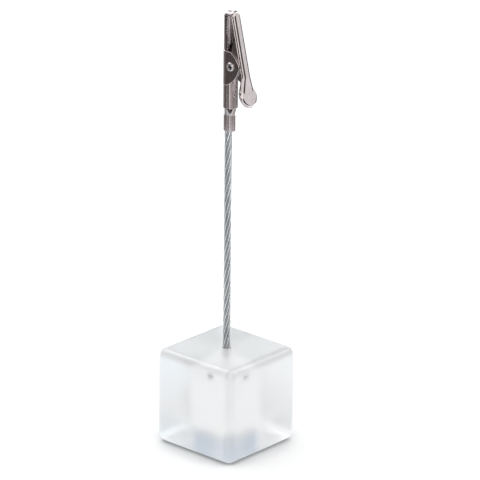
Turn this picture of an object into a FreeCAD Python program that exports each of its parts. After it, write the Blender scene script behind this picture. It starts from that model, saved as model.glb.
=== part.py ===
import FreeCAD
import Part
import Sketcher
import math
import os

# Memo holder: a frosted cube that carries a wire-rope stem with a spring clip on top.
# The frame's origin is the middle of the cube's underside, +Z up. The clip opens towards +X.
# Every driving size stands once in the table below, in millimetres or degrees.

SIZES = {
    # Cube
    "block_side": 30.0,
    "block_edge_radius": 2.8,
    "block_hole_depth": 8.0,
    # Adhesive in the cube's blind hole
    "glue_gap": 0.25,
    "glue_floor": 0.4,
    "glue_recess": 0.15,
    # Wire rope: a straight wire with six inner wires and twelve outer wires laid round it
    "rope_diameter": 2.2,
    "outer_lay_length": 22.0,
    "inner_lay_length": 13.5,
    "wire_gap": 0.03,
    "stem_height": 68.5,
    "rope_end_gap": 0.12,
    "seat_gap": 0.02,
    # Clip body: crimp, transition and barrel, from its lower end upwards
    "sheet_thickness": 0.32,
    "back_offset": 1.5,
    "crimp_length": 5.05,
    "crimp_lobe_step": 0.8,
    "crimp_groove_depth": 0.5,
    "crimp_groove_width": 0.5,
    "crimp_mouth_length": 0.7,
    "transition_length": 2.2,
    "fold_width": 1.9,
    "fold_depth": 1.9,
    "fold_place": 1.75,
    "barrel_diameter": 4.0,
    "barrel_flat": 0.45,
    "barrel_length": 6.7,
    "barrel_slant": 3.2,
    "barrel_seam": 0.3,
    "neck_reach": 0.45,
    "neck_lap": 0.45,
    "slit": 0.4,
    # Clip body: ears and toothed jaw
    "pivot_offset": 2.5,
    "ear_width": 4.1,
    "ear_below_pivot": 6.05,
    "ear_above_pivot": 4.3,
    "ear_reach": 3.1,
    "ear_nose_height": 1.4,
    "ear_nose_radius": 1.54,
    "ear_upper_radius": 7.5,
    "ear_lower_radius": 8.5,
    "ear_shoulder": 0.25,
    "jaw_notch": 0.8,
    "jaw_neck_reach": 2.4,
    "jaw_width": 3.2,
    "jaw_flange": 0.9,
    "jaw_length": 9.55,
    "jaw_gap": 0.12,
    "nose_lip_length": 0.3,
    "tooth_depth": 0.6,
    "tooth_pitch": 0.92,
    "tooth_count": 6.0,
    "tooth_margin": 0.2,
    # Lever, in its own frame: origin on the pivot axis, z along its jaw
    "lever_tilt": 13.3,
    "lever_crown": 4.15,
    "lever_flange": 1.1,
    "lever_length": 14.6,
    "lever_bend_radius": 0.95,
    "lobe_radius": 1.7,
    "lobe_upper_length": 8.4,
    "lobe_lower_length": 5.6,
    "tail_start": 3.6,
    "tail_length": 4.6,
    "tail_width": 5.5,
    "tail_corner_radius": 1.1,
    "tail_flange": 1.6,
    "pad_diameter": 6.7,
    "pad_depth": 1.0,
    "pad_corner_radius": 0.75,
    "pad_centre_rise": 3.7,
    "pad_centre_below": 9.25,
    "pad_tilt": -8.0,
    # Rivet
    "rivet_shank": 1.7,
    "rivet_bore": 0.95,
    "rivet_head": 2.6,
    "rivet_head_height": 0.45,
    "rivet_fit": 0.02,
    "pivot_running_gap": 0.05,
    "rivet_slot_width": 0.28,
    "rivet_slots": 5.0,
    # Torsion spring
    "spring_wire": 0.34,
    "spring_bore_gap": 0.17,
    "spring_side_gap": 0.12,
    "spring_leg_body": 5.6,
    "spring_leg_lever": 3.4,
    "spring_seat_gap": 0.06,
    # One overrun for every cut that runs past a face
    "overrun": 0.5,
}

SHEET_NAME = "Sizes"


class Size:
    """A length that keeps its number together with the sheet expression it comes from."""

    def __init__(self, text, number):
        self.text = text
        self.number = number

    def _join(self, sign, other, number):
        return Size("(%s %s %s)" % (self.text, sign, as_text(other)), number)

    def __add__(self, other):
        return self._join("+", other, self.number + as_number(other))

    def __sub__(self, other):
        return self._join("-", other, self.number - as_number(other))

    def __mul__(self, other):
        return self._join("*", other, self.number * as_number(other))

    def __truediv__(self, other):
        return self._join("/", other, self.number / as_number(other))

    def __neg__(self):
        return Size("(0 - %s)" % self.text, -self.number)


def as_text(value):
    return value.text if isinstance(value, Size) else repr(value)


def as_number(value):
    return value.number if isinstance(value, Size) else value


def vector(x, y, z):
    return FreeCAD.Vector(as_number(x), as_number(y), as_number(z))


# Document and sheet

os.makedirs("parts", exist_ok=True)
doc = FreeCAD.newDocument("memo_holder")
sheet = doc.addObject("Spreadsheet::Sheet", SHEET_NAME)


def fill_sheet():
    """Write each driving size as plain text with its own alias."""
    for row, (name, number) in enumerate(SIZES.items(), start=1):
        sheet.set("A%d" % row, name)
        sheet.set("B%d" % row, str(number))
        sheet.setAlias("B%d" % row, name)
    doc.recompute()


fill_sheet()


def size(name):
    return Size("%s.%s" % (SHEET_NAME, name), float(sheet.get(name)))


def slope_size(function, name):
    """A sine, cosine or tangent of an angle in the table."""
    angle = size(name)
    return Size("%s(%s)" % (function.__name__, angle.text), function(math.radians(angle.number)))


ZERO = Size("0", 0.0)
UP = FreeCAD.Vector(0, 0, 1)

# Sizes that several sub-parts share

THICK = size("sheet_thickness")
OVER = size("overrun")
BACK = -size("back_offset")
BLOCK_TOP = size("block_side")
HOLE_FLOOR = BLOCK_TOP - size("block_hole_depth")
ROPE_RADIUS = size("rope_diameter") / 2
ROPE_BORE = ROPE_RADIUS + size("seat_gap")
CLIP_BASE = BLOCK_TOP + size("stem_height")
BARREL_RADIUS = size("barrel_diameter") / 2
EAR_RADIUS = size("ear_width") / 2
EAR_CENTRE = BACK + BARREL_RADIUS
JAW_RADIUS = size("jaw_width") / 2
SHANK_RADIUS = size("rivet_shank") / 2

# Heights in the clip body, from its lower end
CRIMP_TOP = size("crimp_length")
BARREL_FOOT = CRIMP_TOP + size("transition_length")
BARREL_TOP = BARREL_FOOT + size("barrel_length")
EAR_FOOT = BARREL_TOP + size("slit")
PIVOT_HEIGHT = EAR_FOOT + size("ear_below_pivot")
EAR_TOP = PIVOT_HEIGHT + size("ear_above_pivot")
JAW_FOOT = EAR_TOP + size("jaw_notch")
JAW_END = JAW_FOOT + size("jaw_length")
PIVOT_X = size("pivot_offset")

# Lever's own frame: heights over the pivot axis, and the line where the two noses meet
LEVER_CROWN = size("lever_crown")
LEVER_EDGE = LEVER_CROWN - size("lever_flange")
LEVER_TIP = size("lever_length") + JAW_RADIUS
TAIL_END = size("tail_start") + size("tail_length")
TAIL_CROWN = size("pad_centre_rise") + (size("pad_centre_below") - TAIL_END) * slope_size(math.tan, "pad_tilt")
NOSE_EDGE = (PIVOT_X + LEVER_EDGE * slope_size(math.cos, "lever_tilt")
             - LEVER_TIP * slope_size(math.sin, "lever_tilt") - size("jaw_gap"))


# Sketch helpers

def origin_plane(body, role):
    for feature in body.Origin.OriginFeatures:
        if feature.Role == role:
            return feature
    raise RuntimeError("no origin plane " + role)


def bind(item, path, value):
    """Tie a property or constraint of a document object to sheet cells."""
    item.setExpression(path, as_text(value))


def new_sketch(body, name, role, height=None):
    """An empty sketch on an origin plane of its own body, moved along the plane's normal by height."""
    sketch = body.newObject("Sketcher::SketchObject", name)
    sketch.AttachmentSupport = [(origin_plane(body, role), "")]
    sketch.MapMode = "FlatFace"
    if height is not None:
        bind(sketch, "AttachmentOffset.Base.z", height)
    return sketch


def arc_geometry(start, end, radius, turn):
    """A circular arc under a half circle. turn is 1 where it bends left on the way, -1 where right."""
    chord = end - start
    half = chord.Length / 2
    rise = math.sqrt(max(radius * radius - half * half, 0.0))
    left = FreeCAD.Vector(-chord.y, chord.x, 0).normalize()
    centre = (start + end) / 2 + left * rise * turn
    circle = Part.Circle(centre, UP, radius)
    first, last = (start, end) if turn > 0 else (end, start)
    return Part.ArcOfCircle(circle, circle.parameter(first), circle.parameter(last))


def fix_point(sketch, geometry, point, place):
    for kind, value in zip(("DistanceX", "DistanceY"), place):
        index = sketch.addConstraint(Sketcher.Constraint(kind, -1, 1, geometry, point, value.number))
        bind(sketch, "Constraints[%d]" % index, value)


def draw_outline(sketch, corners):
    """Draw a closed outline. A corner is (x, y), or (x, y, radius, turn) where an arc arrives at it."""
    edges = []
    for index, corner in enumerate(corners):
        before = corners[index - 1]
        start = vector(before[0], before[1], 0)
        end = vector(corner[0], corner[1], 0)
        if len(corner) == 2:
            edges.append((sketch.addGeometry(Part.LineSegment(start, end)), 1, 2))
            continue
        radius, turn = corner[2], corner[3]
        edge = sketch.addGeometry(arc_geometry(start, end, radius.number, turn))
        bound = sketch.addConstraint(Sketcher.Constraint("Radius", edge, radius.number))
        bind(sketch, "Constraints[%d]" % bound, radius)
        edges.append((edge, 1, 2) if turn > 0 else (edge, 2, 1))
    for index, corner in enumerate(corners):
        edge, first, last = edges[index]
        follower, follower_first, follower_last = edges[(index + 1) % len(edges)]
        sketch.addConstraint(Sketcher.Constraint("Coincident", edge, last, follower, follower_first))
        fix_point(sketch, edge, last, corner[:2])


def draw_circle(sketch, x, y, radius):
    circle = sketch.addGeometry(Part.Circle(vector(x, y, 0), UP, radius.number))
    bound = sketch.addConstraint(Sketcher.Constraint("Radius", circle, radius.number))
    bind(sketch, "Constraints[%d]" % bound, radius)
    fix_point(sketch, circle, 3, (x, y))


def outline_sketch(body, name, role, corners, height=None):
    sketch = new_sketch(body, name, role, height)
    draw_outline(sketch, corners)
    return sketch


def circle_sketch(body, name, role, x, y, radius, height=None):
    sketch = new_sketch(body, name, role, height)
    draw_circle(sketch, x, y, radius)
    return sketch


def add_feature(body, kind, name, sketch, length=None, middle=False, flipped=False, angle=None, axis=None):
    """Add a pad, pocket, revolution or groove, and stop if it leaves the body's volume as it was."""
    before = body.Shape.Volume if body.Tip else 0.0
    feature = body.newObject("PartDesign::" + kind, name)
    feature.Profile = sketch
    if axis is not None:
        feature.ReferenceAxis = (sketch, [axis])
        feature.Angle = angle
    if length is not None:
        bind(feature, "Length", length)
        feature.Midplane = middle
    elif axis is None:
        feature.Type = "ThroughAll"
        feature.Midplane = middle
    feature.Reversed = flipped
    doc.recompute()
    if abs(body.Shape.Volume - before) == 0:
        raise RuntimeError("%s changes nothing" % name)
    return feature


def add_loft(body, kind, name, first, last):
    loft = body.newObject("PartDesign::" + kind, name)
    loft.Profile = first
    loft.Sections = [last]
    loft.Ruled = True
    doc.recompute()
    return loft


def new_body(name):
    body = doc.addObject("PartDesign::Body", name)
    body.Label = name
    return body


def rectangle(x_low, y_low, x_high, y_high):
    return [(x_low, y_low), (x_high, y_low), (x_high, y_high), (x_low, y_high)]


# Cube with its blind hole

def make_block():
    body = new_body("block")
    half = size("block_side") / 2
    square = outline_sketch(body, "BlockSquare", "XY_Plane", rectangle(-half, -half, half, half))
    solid = add_feature(body, "Pad", "BlockPad", square, size("block_side"))
    rounding = body.newObject("PartDesign::Fillet", "BlockRounding")
    rounding.Base = (solid, [""])
    rounding.UseAllEdges = True
    bind(rounding, "Radius", size("block_edge_radius"))
    doc.recompute()
    hole = circle_sketch(body, "BlockHole", "XY_Plane", ZERO, ZERO, ROPE_RADIUS + size("glue_gap"), BLOCK_TOP)
    add_feature(body, "Pocket", "BlockPocket", hole, size("block_hole_depth"))
    return body


# Cured adhesive round the rope's end

def make_adhesive():
    body = new_body("adhesive")
    outer = ROPE_RADIUS + size("glue_gap") - size("seat_gap")
    floor = HOLE_FLOOR + size("seat_gap")
    inner_floor = floor + size("glue_floor")
    top = BLOCK_TOP - size("glue_recess")
    corners = [(ZERO, floor), (outer, floor), (outer, top), (ROPE_BORE, top),
               (ROPE_BORE, inner_floor), (ZERO, inner_floor)]
    profile = outline_sketch(body, "AdhesiveProfile", "XZ_Plane", corners)
    add_feature(body, "Revolution", "AdhesiveRevolution", profile, angle=360, axis="V_Axis")
    return body


# Wire rope

ROPE_FOOT = HOLE_FLOOR + size("seat_gap") + size("glue_floor") + size("rope_end_gap")
ROPE_TOP = CLIP_BASE + size("crimp_length") - size("rope_end_gap")
WIRE_GAP = size("wire_gap").number


class Layer:
    """Round wires laid side by side, inside a given radius. The lay is right-hand where pitch is above zero."""

    def __init__(self, name, count, outside, pitch):
        self.name = name
        self.count = count
        self.pitch = pitch
        spread = math.sin(math.pi / count)
        stretch = math.hypot(1, 2 * math.pi * outside / pitch)
        self.wire = (outside * spread - WIRE_GAP / 2) / (stretch + spread)
        self.lay = outside - self.wire
        self.inside = self.lay - self.wire - WIRE_GAP


OUTER_LAYER = Layer("rope_outer_wire", 12, ROPE_RADIUS.number, size("outer_lay_length").number)
INNER_LAYER = Layer("rope_inner_wire", 6, OUTER_LAYER.inside, -size("inner_lay_length").number)


def arc_middle(start, corner, end):
    """The middle of the arc that touches start to corner at start and corner to end at end."""
    chord_middle = (start + end) / 2
    half = (end - start).Length / 2
    rise = (corner - chord_middle).Length
    bend = math.atan2(rise, half)
    return chord_middle + (corner - chord_middle).normalize() * half * math.tan(bend / 2)


def biarc(start, start_way, end, end_way):
    """Two arcs that run smoothly from one point and direction to another."""
    chord = end - start
    ways = start_way + end_way
    square = 4 - ways.dot(ways)
    cross = chord.dot(ways)
    arm = (math.sqrt(cross * cross + square * chord.dot(chord)) - cross) / square
    first_corner = start + start_way * arm
    last_corner = end - end_way * arm
    joint = (first_corner + last_corner) / 2
    return [Part.Arc(start, arc_middle(start, first_corner, joint), joint).toShape(),
            Part.Arc(joint, arc_middle(joint, last_corner, end), end).toShape()]


def sweep_round(edges, start, way, radius):
    path = Part.Wire(edges)
    profile = Part.Wire([Part.Circle(start, way, radius).toShape()])
    return path.makePipeShell([profile], True, False)


def make_rope_core():
    core = doc.addObject("Part::Cylinder", "rope_core")
    core.Label = "rope_core"
    core.Radius = INNER_LAYER.inside
    bind(core, "Height", ROPE_TOP - ROPE_FOOT)
    bind(core, "Placement.Base.z", ROPE_FOOT)
    return core


def helix_point(radius, pitch, height, phase):
    """A point of a helix about the Z axis, and its direction there."""
    angle = 2 * math.pi * height / pitch + phase
    rise = pitch / (2 * math.pi)
    point = FreeCAD.Vector(radius * math.cos(angle), radius * math.sin(angle), height)
    way = FreeCAD.Vector(-math.sin(angle) * radius / rise, math.cos(angle) * radius / rise, 1)
    return point, way.normalize()


def make_rope_wire(layer, number):
    """One laid wire, a helix of biarcs of at most a quarter turn."""
    length = (ROPE_TOP - ROPE_FOOT).number
    steps = math.ceil(4 * length / abs(layer.pitch))
    phase = 2 * math.pi * number / layer.count
    stations = [helix_point(layer.lay, layer.pitch, length * step / steps, phase)
                for step in range(steps + 1)]
    edges = []
    for (start, start_way), (end, end_way) in zip(stations, stations[1:]):
        edges += biarc(start, start_way, end, end_way)
    name = "%s_%d" % (layer.name, number)
    wire = doc.addObject("Part::Feature", name)
    wire.Label = name
    wire.Shape = sweep_round(edges, stations[0][0], stations[0][1], layer.wire)
    wire.Placement = FreeCAD.Placement(vector(ZERO, ZERO, ROPE_FOOT), FreeCAD.Rotation())
    return wire


# Clip body

def channel(back, radius, edge):
    """Section of a round-backed channel that opens towards +x, seen from above."""
    centre = back + radius
    inner = radius - THICK
    return [(edge, -radius), (edge, -inner), (centre, -inner), (back + THICK, ZERO, inner, -1),
            (centre, inner, inner, -1), (edge, inner), (edge, radius), (centre, radius),
            (back, ZERO, radius, 1), (centre, -radius, radius, 1)]


def half_channel(back, radius, edge):
    """The +y half of a channel section."""
    centre = back + radius
    inner = radius - THICK
    return [(edge, inner), (edge, radius), (centre, radius), (back, ZERO, radius, 1),
            (back + THICK, ZERO), (centre, inner, inner, -1)]


def oval(back, radius, flat):
    """Two half circles joined by straight sides, as long as flat."""
    near = back + radius
    far = near + flat
    return [(near, radius), (back, ZERO, radius, 1), (near, -radius, radius, 1), (far, -radius),
            (far + radius, ZERO, radius, 1), (far, radius, radius, 1)]


def add_jaw(body):
    """Round-backed jaw with its closed nose, teeth and the neck that joins it to the ears."""
    edge = BACK + JAW_RADIUS + size("jaw_flange")
    foot = EAR_TOP - size("neck_lap")
    section = outline_sketch(body, "JawSection", "XY_Plane", channel(BACK, JAW_RADIUS, NOSE_EDGE), foot)
    add_feature(body, "Pad", "JawPad", section, JAW_END - foot)
    nose = outline_sketch(body, "NoseSection", "XY_Plane", half_channel(BACK, JAW_RADIUS, NOSE_EDGE), JAW_END)
    add_feature(body, "Revolution", "NoseRevolution", nose, angle=180, axis="H_Axis")
    neck = BACK + size("jaw_neck_reach")
    opening = [(edge, JAW_FOOT), (neck, JAW_FOOT), (neck, foot - OVER), (NOSE_EDGE + OVER, foot - OVER),
               (NOSE_EDGE + OVER, JAW_END + size("nose_lip_length")), (edge, JAW_END + size("nose_lip_length"))]
    opening_cut = outline_sketch(body, "JawOpening", "XZ_Plane", opening)
    add_feature(body, "Pocket", "JawOpeningPocket", opening_cut, EAR_RADIUS * 2, middle=True)
    add_teeth(body, edge)


def add_teeth(body, edge):
    """V cuts along both flange edges, from the nose's lip downwards."""
    pitch = size("tooth_pitch")
    top = JAW_END + size("nose_lip_length") - size("tooth_margin")
    corners = [(edge + OVER, top - pitch), (edge + OVER, top), (edge, top),
               (edge - size("tooth_depth"), top - pitch / 2), (edge, top - pitch)]
    tooth = outline_sketch(body, "ToothGap", "XZ_Plane", corners)
    gap = add_feature(body, "Pocket", "ToothPocket", tooth, EAR_RADIUS * 2, middle=True)
    row = body.newObject("PartDesign::LinearPattern", "ToothRow")
    row.Originals = [gap]
    row.Direction = (tooth, ["V_Axis"])
    row.Reversed = True
    bind(row, "Length", pitch * (size("tooth_count") - 1))
    bind(row, "Occurrences", size("tooth_count"))
    body.Tip = row
    doc.recompute()


def add_barrel(body):
    """Rolled barrel with its seam at the front and its slanted upper edge."""
    flat = size("barrel_flat")
    rise = BARREL_TOP + size("barrel_slant")
    outer = outline_sketch(body, "BarrelOuter", "XY_Plane", oval(BACK, BARREL_RADIUS, flat), BARREL_FOOT)
    add_feature(body, "Pad", "BarrelPad", outer, rise - BARREL_FOOT)
    bore = oval(BACK + THICK, BARREL_RADIUS - THICK, flat)
    inner = outline_sketch(body, "BarrelBore", "XY_Plane", bore, BARREL_FOOT)
    add_feature(body, "Pocket", "BarrelBorePocket", inner, rise - BARREL_FOOT, flipped=True)
    front = BACK + BARREL_RADIUS * 2 + flat
    slant = [(BACK + size("neck_reach"), BARREL_TOP), (front + OVER, rise),
             (front + OVER, rise + OVER), (BACK + size("neck_reach"), rise + OVER)]
    slant_cut = outline_sketch(body, "BarrelSlant", "XZ_Plane", slant)
    add_feature(body, "Pocket", "BarrelSlantPocket", slant_cut, EAR_RADIUS * 2, middle=True)
    half_seam = size("barrel_seam") / 2
    seam = rectangle(front - THICK - OVER, -half_seam, front + OVER, half_seam)
    seam_cut = outline_sketch(body, "BarrelSeam", "XY_Plane", seam, BARREL_FOOT)
    add_feature(body, "Pocket", "BarrelSeamPocket", seam_cut, rise - BARREL_FOOT, flipped=True)


def add_crimp(body):
    """Two-lobed crimp round the rope, and the folded transition to the barrel."""
    radius = ROPE_BORE + THICK
    lobes = size("crimp_lobe_step")
    section = oval(-radius, radius, lobes)
    foot = outline_sketch(body, "CrimpFoot", "XY_Plane", section)
    add_feature(body, "Pad", "CrimpPad", foot, CRIMP_TOP)
    low = outline_sketch(body, "TransitionLow", "XY_Plane", section, CRIMP_TOP)
    high = outline_sketch(body, "TransitionHigh", "XY_Plane",
                          oval(BACK, BARREL_RADIUS, size("barrel_flat")), BARREL_FOOT)
    add_loft(body, "AdditiveLoft", "TransitionLoft", low, high)
    bore_low = outline_sketch(body, "TransitionBoreLow", "XY_Plane",
                              oval(-ROPE_BORE, ROPE_BORE, THICK), CRIMP_TOP)
    bore_high = outline_sketch(body, "TransitionBoreHigh", "XY_Plane",
                               oval(BACK + THICK, BARREL_RADIUS - THICK, size("barrel_flat")), BARREL_FOOT)
    add_loft(body, "SubtractiveLoft", "TransitionBore", bore_low, bore_high)
    rope_hole = circle_sketch(body, "RopeHole", "XY_Plane", ZERO, ZERO, ROPE_BORE)
    add_feature(body, "Pocket", "RopeHolePocket", rope_hole, CRIMP_TOP, flipped=True)
    add_crimp_grooves(body, radius)
    add_fold(body)


def add_crimp_grooves(body, radius):
    """The pressed-in line between the two lobes, on both sides."""
    place = lobes_middle()
    half = size("crimp_groove_width") / 2
    depth = radius - size("crimp_groove_depth")
    sketch = new_sketch(body, "CrimpGrooves", "XY_Plane", size("crimp_mouth_length"))
    for side in (1, -1):
        outer = (radius + OVER) * side
        corners = [(place, depth * side), (place + half, radius * side), (place + half, outer),
                   (place - half, outer), (place - half, radius * side)]
        draw_outline(sketch, corners)
    add_feature(body, "Pocket", "CrimpGroovePocket", sketch, CRIMP_TOP - size("crimp_mouth_length"),
                flipped=True)


def lobes_middle():
    return size("crimp_lobe_step") / 2 + ROPE_BORE / 2


def add_fold(body):
    """The V left open where the barrel's sheet folds in to the crimp."""
    place = size("fold_place")
    half = size("fold_width") / 2
    corners = [(place - half, BARREL_FOOT), (place, BARREL_FOOT - size("fold_depth")),
               (place + half, BARREL_FOOT)]
    fold = outline_sketch(body, "FoldCut", "XZ_Plane", corners)
    add_feature(body, "Pocket", "FoldPocket", fold, EAR_RADIUS * 2, middle=True)


def ear_outline():
    """Flat part of an ear, seen from the side: a rounded fin with its tip level with the pivot."""
    tip = PIVOT_X + size("ear_reach")
    half_nose = size("ear_nose_height") / 2
    return [(EAR_CENTRE, EAR_TOP), (EAR_CENTRE, EAR_FOOT),
            (tip, PIVOT_HEIGHT - half_nose, size("ear_lower_radius"), 1),
            (tip, PIVOT_HEIGHT + half_nose, size("ear_nose_radius"), 1),
            (PIVOT_X - size("ear_shoulder"), EAR_TOP, size("ear_upper_radius"), 1)]


def add_ears(body):
    """Wide channel on the barrel's centre line. Its flat sides are the outer ears, with the rivet's hole."""
    centre = EAR_CENTRE
    inner = EAR_RADIUS - THICK
    back = [(centre, -EAR_RADIUS, EAR_RADIUS, 1), (centre, -inner), (centre - inner, ZERO, inner, -1),
            (centre, inner, inner, -1), (centre, EAR_RADIUS), (centre - EAR_RADIUS, ZERO, EAR_RADIUS, 1)]
    section = outline_sketch(body, "EarBack", "XY_Plane", back, EAR_FOOT)
    add_feature(body, "Pad", "EarBackPad", section, EAR_TOP - EAR_FOOT)
    for name, kind, side in (("EarPlus", "Pad", 1), ("EarMinus", "Pad", -1)):
        plate = new_sketch(body, name, "XZ_Plane", (inner if side < 0 else -EAR_RADIUS))
        draw_outline(plate, ear_outline())
        add_feature(body, kind, name + "Pad", plate, THICK)
    hole = circle_sketch(body, "RivetHole", "XZ_Plane", PIVOT_X, PIVOT_HEIGHT,
                         SHANK_RADIUS + size("rivet_fit"))
    add_feature(body, "Pocket", "RivetHolePocket", hole, EAR_RADIUS * 2 + OVER, middle=True)


def make_clip_body():
    body = new_body("clip_body")
    add_jaw(body)
    add_barrel(body)
    add_crimp(body)
    add_ears(body)
    bind(body, "Placement.Base.z", CLIP_BASE)
    return body


# Clip lever, built in its own frame

def lever_section(half, corner, crown, edge):
    """Solid section of the lever's channel, with its open side at edge."""
    return [(edge, -half), (crown - corner, -half), (crown, -half + corner, corner, 1),
            (crown, half - corner), (crown - corner, half, corner, 1), (edge, half)]


def add_lever_jaw(body, kinds, label, shell, edge):
    """The straight channel and its round nose, as material or, for the inside, as a cut."""
    pad_kind, turn_kind = kinds
    half = JAW_RADIUS - shell
    corner = size("lever_bend_radius") - shell
    crown = LEVER_CROWN - shell
    section = outline_sketch(body, label + "Section", "XY_Plane",
                             lever_section(half, corner, crown, edge), -size("tail_start"))
    add_feature(body, pad_kind, label + "Length", section, size("tail_start") + size("lever_length"),
                flipped=pad_kind == "Pocket")
    profile = [(edge, ZERO), (crown, ZERO), (crown, half - corner), (crown - corner, half, corner, 1),
               (edge, half)]
    nose = outline_sketch(body, label + "Nose", "XY_Plane", profile, size("lever_length"))
    add_feature(body, turn_kind, label + "NoseTurn", nose, angle=180, axis="H_Axis")


def add_tail(body, kind, label, shell, edges):
    """The channel's flare from the jaw's section to the thumb pad."""
    high = outline_sketch(body, label + "High", "XY_Plane",
                          lever_section(JAW_RADIUS - shell, size("lever_bend_radius") - shell,
                                        LEVER_CROWN - shell, edges[0]), -size("tail_start"))
    low = outline_sketch(body, label + "Low", "XY_Plane",
                         lever_section(size("tail_width") / 2 - shell, size("tail_corner_radius") - shell,
                                       TAIL_CROWN - shell, edges[1]), -TAIL_END)
    add_loft(body, kind, label + "Loft", high, low)


def add_thumb_dish(body, kind, label, shell, depth):
    """The round thumb pad with its turned-in rim, revolved about its own axis."""
    radius = size("pad_diameter") / 2 - shell
    corner = size("pad_corner_radius") - shell
    face = -shell
    corners = [(face, ZERO), (face, radius - corner), (face - corner, radius, corner, 1),
               (-depth, radius), (-depth, ZERO)]
    sketch = new_sketch(body, label, "XZ_Plane")
    sketch.AttachmentOffset = FreeCAD.Placement(FreeCAD.Vector(), FreeCAD.Rotation(-UP, 1))
    bind(sketch, "AttachmentOffset.Base.x", size("pad_centre_rise"))
    bind(sketch, "AttachmentOffset.Base.y", -size("pad_centre_below"))
    bind(sketch, "AttachmentOffset.Rotation.Angle", size("pad_tilt"))
    draw_outline(sketch, corners)
    add_feature(body, kind, label + "Turn", sketch, angle=360, axis="H_Axis")


def add_lobes(body):
    """The inner ears: two plates with the pivot hole."""
    radius = size("lobe_radius")
    reach = radius / 3
    half = radius * (1 - 1 / 9) ** 0.5
    top = LEVER_EDGE + (size("lever_flange") - size("lever_bend_radius")) / 2
    corners = [(top, size("lobe_upper_length")), (-reach, half), (-reach, -half, radius, 1), (top, -size("lobe_lower_length"))]
    inner = JAW_RADIUS - THICK
    for name, start in (("LobePlus", -JAW_RADIUS), ("LobeMinus", inner)):
        plate = new_sketch(body, name, "XZ_Plane", start)
        draw_outline(plate, corners)
        add_feature(body, "Pad", name + "Pad", plate, THICK)
    hole = circle_sketch(body, "LobeHole", "XZ_Plane", ZERO, ZERO,
                         SHANK_RADIUS + size("pivot_running_gap"))
    add_feature(body, "Pocket", "LobeHolePocket", hole, JAW_RADIUS * 2 + OVER, middle=True)


def make_clip_lever():
    body = new_body("clip_lever")
    tail_edge = TAIL_CROWN - size("tail_flange")
    add_lever_jaw(body, ("Pad", "Revolution"), "Lever", ZERO, LEVER_EDGE)
    add_tail(body, "AdditiveLoft", "Tail", ZERO, (LEVER_EDGE, tail_edge))
    add_thumb_dish(body, "Revolution", "Dish", ZERO, size("pad_depth"))
    add_lever_jaw(body, ("Pocket", "Groove"), "LeverInside", THICK, LEVER_EDGE - OVER)
    add_tail(body, "SubtractiveLoft", "TailInside", THICK, (LEVER_EDGE - OVER, tail_edge - OVER))
    add_thumb_dish(body, "Groove", "DishInside", THICK, size("pad_depth") + OVER)
    add_lobes(body)
    bind(body, "Placement.Base.x", PIVOT_X)
    bind(body, "Placement.Base.z", CLIP_BASE + PIVOT_HEIGHT)
    body.Placement.Rotation = FreeCAD.Rotation(FreeCAD.Vector(0, -1, 0), 1)
    bind(body, "Placement.Rotation.Angle", size("lever_tilt"))
    return body


# Rivet

def make_pivot_rivet():
    """Hollow rivet along Y: round head at +y, rolled and split end at -y."""
    body = new_body("pivot_rivet")
    bore = size("rivet_bore") / 2
    head = size("rivet_head") / 2
    face = EAR_RADIUS + size("seat_gap")
    cap = face + size("rivet_head_height")
    curl = size("rivet_head_height")
    wall = SHANK_RADIUS - bore
    dome_rise = curl * 2 / 3
    dome_radius = (head * head + dome_rise * dome_rise) / (dome_rise * 2)
    corners = [(ZERO, face), (bore, face), (bore, -face), (bore + wall / 2, -cap),
               (head, -face - curl / 2, curl, 1), (head, -face), (SHANK_RADIUS, -face),
               (SHANK_RADIUS, face), (head, face), (head, cap - dome_rise),
               (ZERO, cap, dome_radius, 1)]
    profile = outline_sketch(body, "RivetProfile", "XY_Plane", corners)
    add_feature(body, "Revolution", "RivetRevolution", profile, angle=360, axis="V_Axis")
    slot = rectangle(ZERO, -size("rivet_slot_width") / 2, head - wall / 2, size("rivet_slot_width") / 2)
    slot_sketch = outline_sketch(body, "RivetSlot", "XZ_Plane", slot, face + curl / 3)
    cut = add_feature(body, "Pocket", "RivetSlotPocket", slot_sketch, curl, flipped=True)
    ring = body.newObject("PartDesign::PolarPattern", "RivetSlots")
    ring.Originals = [cut]
    ring.Axis = (slot_sketch, ["N_Axis"])
    ring.Angle = 360
    bind(ring, "Occurrences", size("rivet_slots"))
    body.Tip = ring
    bind(body, "Placement.Base.x", PIVOT_X)
    bind(body, "Placement.Base.z", CLIP_BASE + PIVOT_HEIGHT)
    return body


# Torsion spring

COIL_POINTS = 400


def spring_tangent(foot, radius, side):
    """Where a straight leg from foot leaves the coil, as an angle. side is 1 for the lever's leg."""
    distance = foot.Length
    toward = math.atan2(foot.z, foot.x)
    return toward + side * math.acos(radius / distance)


def spring_feet(half_span, wire):
    """Leg ends in the pivot's frame: on the body's back and under the lever's back."""
    clear = wire / 2 + size("spring_seat_gap").number
    back_reach = math.sqrt(((EAR_RADIUS - THICK).number - clear) ** 2 - half_span ** 2)
    body_x = (EAR_CENTRE - PIVOT_X).number - back_reach
    body_foot = FreeCAD.Vector(body_x, 0, -size("spring_leg_body").number)
    bend = size("lever_bend_radius").number
    aside = half_span - (JAW_RADIUS.number - bend)
    bend_reach = math.sqrt(max((bend - THICK.number - clear) ** 2 - aside ** 2, 0.0))
    lever_foot = FreeCAD.Vector(LEVER_CROWN.number - bend + bend_reach, 0, -size("spring_leg_lever").number)
    tilt = FreeCAD.Rotation(FreeCAD.Vector(0, -1, 0), size("lever_tilt").number)
    return body_foot, tilt.multVec(lever_foot)


def coil_point(radius, angle, y, slope):
    point = FreeCAD.Vector(radius * math.cos(angle), y, radius * math.sin(angle))
    way = FreeCAD.Vector(radius * math.sin(angle), slope, -radius * math.cos(angle))
    return point, way.normalize()


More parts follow.
